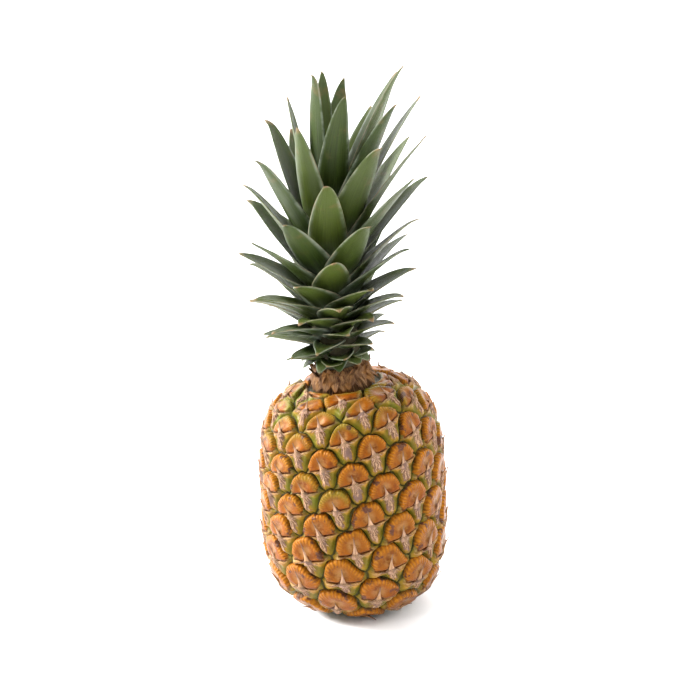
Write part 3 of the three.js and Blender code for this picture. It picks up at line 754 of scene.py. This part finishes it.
chance = seeded_random(LEAF_SEED)
leaf_points, leaf_faces, leaf_marks, leaf_luck = [], [], [], []
for j in range(LEAF_COUNT):
    t = j / (LEAF_COUNT - 1)
    root_height = along(LEAF_ROOT_HEIGHT, t)
    root_radius = ROOT_INSET * (STEM_RADIUS + (STEM_TOP_RADIUS - STEM_RADIUS) * t)
    turn = FRONT_LEAF_TURN - (j - FRONT_LEAF) * LEAF_TURN + LEAF_TURN_SPREAD * (next(chance) - 0.5)
    leftward = LEFTWARD_REACH * math.cos(turn) * max(1 - 1.4 * t, 0)
    reach = along(LEAF_REACH, t) * (1 - leftward + LEAF_REACH_SPREAD * (next(chance) - 0.5))
    tip_height = along(LEAF_TIP_HEIGHT, t) + LEAF_HEIGHT_SPREAD * t * (next(chance) - 0.5)
    tip_height += reach * math.sin(CROWN_NOD) * math.sin(turn)
    knee_radius = root_radius + (reach - root_radius) * along(LEAF_KNEE_OUT, t)
    knee_height = root_height + (tip_height - root_height) * along(LEAF_KNEE_UP, t)
    points, faces, marks = blade(
        root=(root_radius, root_height),
        knee=(knee_radius, knee_height),
        tip=(reach, tip_height),
        turn=turn,
        width=along(LEAF_WIDTH, t),
        thickness=LEAF_THICKNESS,
        channel=LEAF_CHANNEL,
        twist=LEAF_TWIST * (next(chance) - 0.5),
        length_steps=26,
        side_steps=10,
    )
    # The dry end of a leaf curls outwards and to one side, each one differently.
    curl = (np.array([m[0] for m in marks])[:, None] - CURL_START) / (1 - CURL_START)
    curl = np.maximum(curl, 0) ** 2
    outward = np.array([math.cos(turn), math.sin(turn), -0.6]) * (3.2 * luck_source.random() - 0.8)
    sideways = np.array([-math.sin(turn), math.cos(turn), 0]) * (4.4 * luck_source.random() - 2.2)
    points = points + curl * (outward + sideways)
    start = len(leaf_points)
    leaf_points.extend(on_neck(bent_crown(points)))
    leaf_faces.extend(tuple(start + v for v in face) for face in faces)
    leaf_marks.extend(marks)
    leaf_luck.extend([(luck_source.random(), t)] * len(marks))

# The ring of short leaves that clasps the stem's foot and droops over the collar.
for i in range(SHORT_LEAF_COUNT):
    root_height = SHORT_LEAF_HEIGHT + 1.4 * next(chance)
    reach = SHORT_LEAF_REACH + 4 * next(chance)
    tip_height = SHORT_LEAF_TIP_HEIGHT + 1.5 * next(chance)
    turn = (i + 0.4 * next(chance)) / SHORT_LEAF_COUNT * 2 * math.pi
    points, faces, marks = blade(
        root=(STEM_RADIUS - 2, root_height),
        knee=(STEM_RADIUS + 3.5, root_height + 1),
        tip=(reach, tip_height),
        turn=turn,
        width=SHORT_LEAF_WIDTH,
        thickness=SHORT_LEAF_THICKNESS,
        channel=SHORT_LEAF_CHANNEL,
        twist=SHORT_LEAF_TWIST * (next(chance) - 0.5),
        length_steps=14,
        side_steps=8,
    )
    leaf_faces.extend(tuple(len(leaf_points) + v for v in face) for face in faces)
    leaf_points.extend(on_neck(bent_crown(points)))
    leaf_marks.extend(marks)
    leaf_luck.extend([(luck_source.random(), 0.0)] * len(marks))

leaf_uvs = np.array([(m[1] * 0.5 + 0.5, m[0]) for m in leaf_marks])
leaf_corners = leaf_uvs[[v for face in leaf_faces for v in face]]
leaf_marks = [(l[0], l[1], float(m[2]), 1.0) for l, m in zip(leaf_luck, leaf_marks)]
leaves = smooth_piece("leaves", leaf_points, leaf_faces, "blade", leaf_corners, "leaf", leaf_marks)

# The stem that they grow from, with their fused roots.
bpy.ops.object.select_all(action="DESELECT")
bpy.ops.mesh.primitive_cylinder_add(vertices=32, radius=STEM_RADIUS, depth=1.0, location=(0, 0, 0.5))
stem = bpy.context.object
stem.name = "crown_stem"
bpy.ops.object.transform_apply(location=True)
cut_rings(STEM_CUTS)
base = COLLAR_HEIGHT + GAP
for v in stem.data.vertices:
    share = v.co.z
    z = base + share * (STEM_TOP - base)
    narrow = min(max((z - LEAF_ROOT_HEIGHT[3]) / (STEM_TOP - LEAF_ROOT_HEIGHT[3]), 0), 1)
    radius = (1 + (STEM_TOP_RADIUS / STEM_RADIUS - 1) * narrow) * STEM_INSET
    v.co = Vector(on_neck(bent_crown(np.array([v.co.x * radius, v.co.y * radius, z]))) * MM)

# Leathery leaf: deep green with fine lengthwise veins, lighter towards the tip as painted shade at the root
# and painted light higher up, a grey-blue bloom near the root and edges, and dry brown stains, margins and
# points.
leaf_material, tree = empty_material("leathery_bloomed_leaf")
place = own_place(tree)
uv = add(tree, "ShaderNodeUVMap", uv_map="blade").outputs[0]
mark = add(tree, "ShaderNodeAttribute", attribute_name="leaf").outputs[0]
one_leaf_luck, _, _ = parts_of(tree, "ShaderNodeSeparateColor", mark)
across, length, _ = parts_of(tree, "ShaderNodeSeparateXYZ", uv)
across = calc(tree, "ABSOLUTE", calc(tree, "MULTIPLY_ADD", across, 2.0, -1.0))
veins = fibres_along(tree, one_leaf_luck, 40.0, (55, 2.2, 1), 2.0, 0.5)
blotch = speckle(tree, place, 11.1, 5.0, 0.6)
fine = speckle(tree, place, 0.91, 4.0, 0.6)
leaf_colour = blend_colours(tree, between(tree, veins, 0.35, 0.65), linear("141F05"), linear("26360A"))
# Lighter green up the leaf: painted shade at the root, painted light on the upper half.
leaf_colour = tint(tree, leaf_colour, "485620", between(tree, length, 0.35, 0.8), 0.3)
leaf_colour = tint(tree, leaf_colour, "5A6428", one_leaf_luck, 0.35)
bloom = times(tree, between(tree, across, 0.72, 1.0), 0.75)
bloom = plus(tree, between(tree, length, 0.42, 0.0), bloom)
bloom = times(tree, bloom, between(tree, blotch, 0.32, 0.68))
bloom = calc(tree, "MULTIPLY", bloom, calc(tree, "MULTIPLY_ADD", veins, 0.7, 0.5), clamp=True)
leaf_colour = tint(tree, leaf_colour, "ABB6A8", bloom, 0.6)
stain = times(tree, between(tree, blotch, 0.56, 0.68), between(tree, length, 0.3, 0.9))
leaf_colour = tint(tree, leaf_colour, "5C4C2A", stain, 0.5)
dryness = calc(tree, "MULTIPLY_ADD", blotch, 0.2, times(tree, one_leaf_luck, 0.04))
edge = between(tree, plus(tree, across, dryness), 1.08, 1.15)
point = between(tree, plus(tree, length, dryness), 1.04, 1.12)
dry_leaf = calc(tree, "MAXIMUM", times(tree, edge, 0.45), point)
dry_colour = blend_colours(tree, fine, linear("3E2818"), linear("9A8058"))
leaf_colour = blend_colours(tree, dry_leaf, leaf_colour, dry_colour)
relief = plus(tree, times(tree, veins, 0.8), times(tree, fine, 0.3))
bump = add(tree, "ShaderNodeBump", {"Height": relief, "Strength": 0.5, "Distance": 0.0006})
rough = calc(tree, "MULTIPLY_ADD", fine, 0.15, 0.33)
rough = calc(tree, "MULTIPLY_ADD", bloom, 0.3, rough, clamp=True)
finish_material(tree, leaf_colour, rough, bump, 0.25)

# The stem between the leaves' roots: the same leathery green, always in shade and without bloom.
stem_material, tree = empty_material("shaded_leaf_base")
mottle = speckle(tree, own_place(tree), 3.33, 4.0)
stem_colour = blend_colours(tree, mottle, linear("1E1C0C"), linear("4A4420"))
finish_material(tree, stem_colour, 0.7, None, 0.5)
for piece, material in ((leaves, leaf_material), (stem, stem_material)):
    piece.data.materials.append(material)
    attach(piece, "root")
    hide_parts("crown")

# The collar of dry bracts
# The neck between fruit and crown is wrapped in small dried leaves, thin as paper and torn at the edges.
# They overlap in rows: the lower ones hug the fruit, and the upper ones flare under the crown.

COLLAR_FOOT_RADIUS = 18.0
COLLAR_FOOT_HEIGHT = 6.0
COLLAR_SEED = 5
NECK_STEPS = 32
BRACT_THICKNESS = 0.6
BRACT_CHANNEL = math.radians(32)
BRACT_TWIST = math.radians(70)
# Each row: how many bracts, then the (out, up) of their root, knee and point, and their width.
COLLAR_ROWS = [
    (24, (0.0, 9.0), (3.2, 8.2), (6.6, 2.6), 8.0),
    (22, (-0.5, 12.0), (2.4, 11.0), (4.0, 4.4), 8.0),
    (20, (-0.6, 13.5), (2.4, 13.0), (3.6, 7.2), 7.5),
    (18, (-1.2, 3.0), (1.2, 9.5), (5.2, 16.0), 7.5),
    (16, (-1.2, 5.0), (0.8, 11.0), (4.2, 16.8), 7.0),
]
chance = seeded_random(COLLAR_SEED)
collar_points, collar_faces, collar_marks, collar_uvs = [], [], [], []


def chance_around(spread):
    return spread * (next(chance) - 0.5)


for count, root, knee, tip, width in COLLAR_ROWS:
    for i in range(count):
        turn = (i + chance_around(0.6)) / count * 2 * math.pi
        points, faces, marks = blade(
            root=(COLLAR_RADIUS + root[0], root[1]),
            knee=(COLLAR_RADIUS + knee[0] + chance_around(0.8), knee[1] + chance_around(1.0)),
            tip=(COLLAR_RADIUS + tip[0] + chance_around(2.6), tip[1] + chance_around(1.6)),
            turn=turn,
            width=width + chance_around(2.5),
            thickness=BRACT_THICKNESS,
            channel=BRACT_CHANNEL,
            twist=BRACT_TWIST * chance_around(1),
            length_steps=8,
            side_steps=4,
        )
        collar_faces.extend(tuple(len(collar_points) + v for v in face) for face in faces)
        collar_points.extend(on_neck(points))
        luck = next(chance)
        collar_marks.extend([(luck, m[0], 0.0, 1.0) for m in marks])
        collar_uvs.extend([(m[1] * 0.5 + 0.5, m[0]) for m in marks])

# The neck itself, behind them: three rings, and a face over each end.
neck_rings = (
    (COLLAR_FOOT_RADIUS, GAP),
    (COLLAR_RADIUS + 1, COLLAR_FOOT_HEIGHT),
    (COLLAR_RADIUS, COLLAR_HEIGHT),
)
low = len(collar_points)
for radius, z in neck_rings:
    for k in range(NECK_STEPS):
        turn = k / NECK_STEPS * 2 * math.pi
        collar_points.append(on_neck(np.array([radius * math.cos(turn), radius * math.sin(turn), z])))
        collar_marks.append((0.5, 0.0, 0.0, 1.0))
        collar_uvs.append((6 * abs(2 * k / NECK_STEPS - 1), z / COLLAR_HEIGHT))
for k in range(NECK_STEPS):
    m = (k + 1) % NECK_STEPS
    for row in (low, low + NECK_STEPS):
        collar_faces.append((row + k, row + m, row + NECK_STEPS + m, row + NECK_STEPS + k))
collar_faces.append(tuple(low + NECK_STEPS - 1 - k for k in range(NECK_STEPS)))
collar_faces.append(tuple(low + 2 * NECK_STEPS + k for k in range(NECK_STEPS)))
collar_corners = np.array(collar_uvs)[[v for face in collar_faces for v in face]]
collar = smooth_piece(
    "dry_bracts", collar_points, collar_faces, "blade", collar_corners, "luck", collar_marks
)

# Weathered dry leaf: brown in long fibres, paler where it flakes, golden in patches, duller on some bracts.
collar_material, tree = empty_material("weathered_dry_leaf")
luck = add(tree, "ShaderNodeAttribute", attribute_name="luck").outputs[0]
bract_luck, _, _ = parts_of(tree, "ShaderNodeSeparateColor", luck)
streak = fibres_along(tree, bract_luck, 60.0, (12, 1.4, 1), 5.0, 0.65)
patch = speckle(tree, own_place(tree), 9.1, 3.0)
fibres = blend_colours(tree, between(tree, streak, 0.38, 0.6), linear("442716"), linear("83613D"))
fibres = tint(tree, fibres, "A58663", between(tree, streak, 0.6, 0.72))
fibres = tint(tree, fibres, "794E1D", between(tree, patch, 0.45, 0.62), 0.6)
fibres = tint(tree, fibres, "5C402D", between(tree, bract_luck, 0.5, 1.0), 0.5)
bump = add(tree, "ShaderNodeBump", {"Height": streak, "Strength": 0.9, "Distance": 0.0008})
finish_material(tree, fibres, 0.8, bump, 0.2)
collar.data.materials.append(collar_material)
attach(collar, "root")
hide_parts("dry_collar")

# The floor, the light and the camera
# A plain white studio sweep, soft light from above and the left, and the photograph's view.

bpy.ops.object.select_all(action="DESELECT")
bpy.ops.mesh.primitive_plane_add(size=12.0, location=(0, -2.5, -0.0002))
floor = bpy.context.object
floor.name = "floor"
bpy.ops.object.transform_apply(location=True)
# The sweep: the back edge turns up in a round bend.
bpy.ops.object.mode_set(mode="EDIT")
bpy.ops.mesh.select_mode(type="EDGE")
sweep = bmesh.from_edit_mesh(floor.data)
back_edge = [e for e in sweep.edges if all(v.co.y > 3 for v in e.verts)]
for edge in sweep.edges:
    edge.select_set(edge in back_edge)
bmesh.update_edit_mesh(floor.data)
bpy.ops.mesh.extrude_region_move(TRANSFORM_OT_translate={"value": (0, 0, 5)})
sweep = bmesh.from_edit_mesh(floor.data)
for edge in sweep.edges:
    edge.select_set(all(abs(v.co.z) < 0.01 and v.co.y > 3 for v in edge.verts))
bmesh.update_edit_mesh(floor.data)
bpy.ops.mesh.bevel(offset=2.0, segments=16, profile=0.5)
bpy.ops.object.mode_set(mode="OBJECT")
floor.data.shade_smooth()
floor_material = bpy.data.materials.new("matt_white_paper")
floor_material.use_nodes = True
paper_surface = floor_material.node_tree.nodes["Principled BSDF"]
paper_surface.inputs["Base Color"].default_value = linear("F7F7F7")
paper_surface.inputs["Roughness"].default_value = 0.9
floor.data.materials.append(floor_material)

LIT_POINT = (0, 0, 0.16)

world = bpy.data.worlds.new("studio")
bpy.context.scene.world = world
world.use_nodes = True
world.node_tree.nodes["Background"].inputs[0].default_value = (1, 1, 1, 1)
world.node_tree.nodes["Background"].inputs[1].default_value = 0.1


def softbox(name, place, target, size, power):
    light = bpy.data.lights.new(name, "AREA")
    light.shape = "RECTANGLE"
    light.size, light.size_y = size
    light.energy = power
    lamp = bpy.data.objects.new(name, light)
    lamp.location = place
    lamp.rotation_euler = (Vector(target) - Vector(place)).to_track_quat("-Z", "Y").to_euler()
    bpy.context.collection.objects.link(lamp)


softbox("key_light", (-3.3, 0.7, 1.9), LIT_POINT, (1.4, 1.4), 485)
softbox("side_light", (3.1, 0.2, 2.0), LIT_POINT, (2.0, 2.0), 52)
softbox("front_light", (-1.4, -2.2, 3.0), LIT_POINT, (0.7, 0.7), 14)
softbox("sweep_light", (0, 1.2, 3.4), (0, 3.6, 0.8), (3.4, 1.0), 34)

target = Vector((-0.0035, 0.0, 0.163))
elevation = math.radians(18.8)
distance = 1.6
camera_data = bpy.data.cameras.new("camera")
camera_data.lens = 136.7
camera_data.sensor_width = 36
camera = bpy.data.objects.new("camera", camera_data)
camera.location = target + distance * Vector((0, -math.cos(elevation), math.sin(elevation)))
camera.rotation_euler = (math.pi / 2 - elevation, 0, 0)
bpy.context.collection.objects.link(camera)
bpy.context.scene.camera = camera
bpy.context.scene.view_settings.view_transform = "Standard"
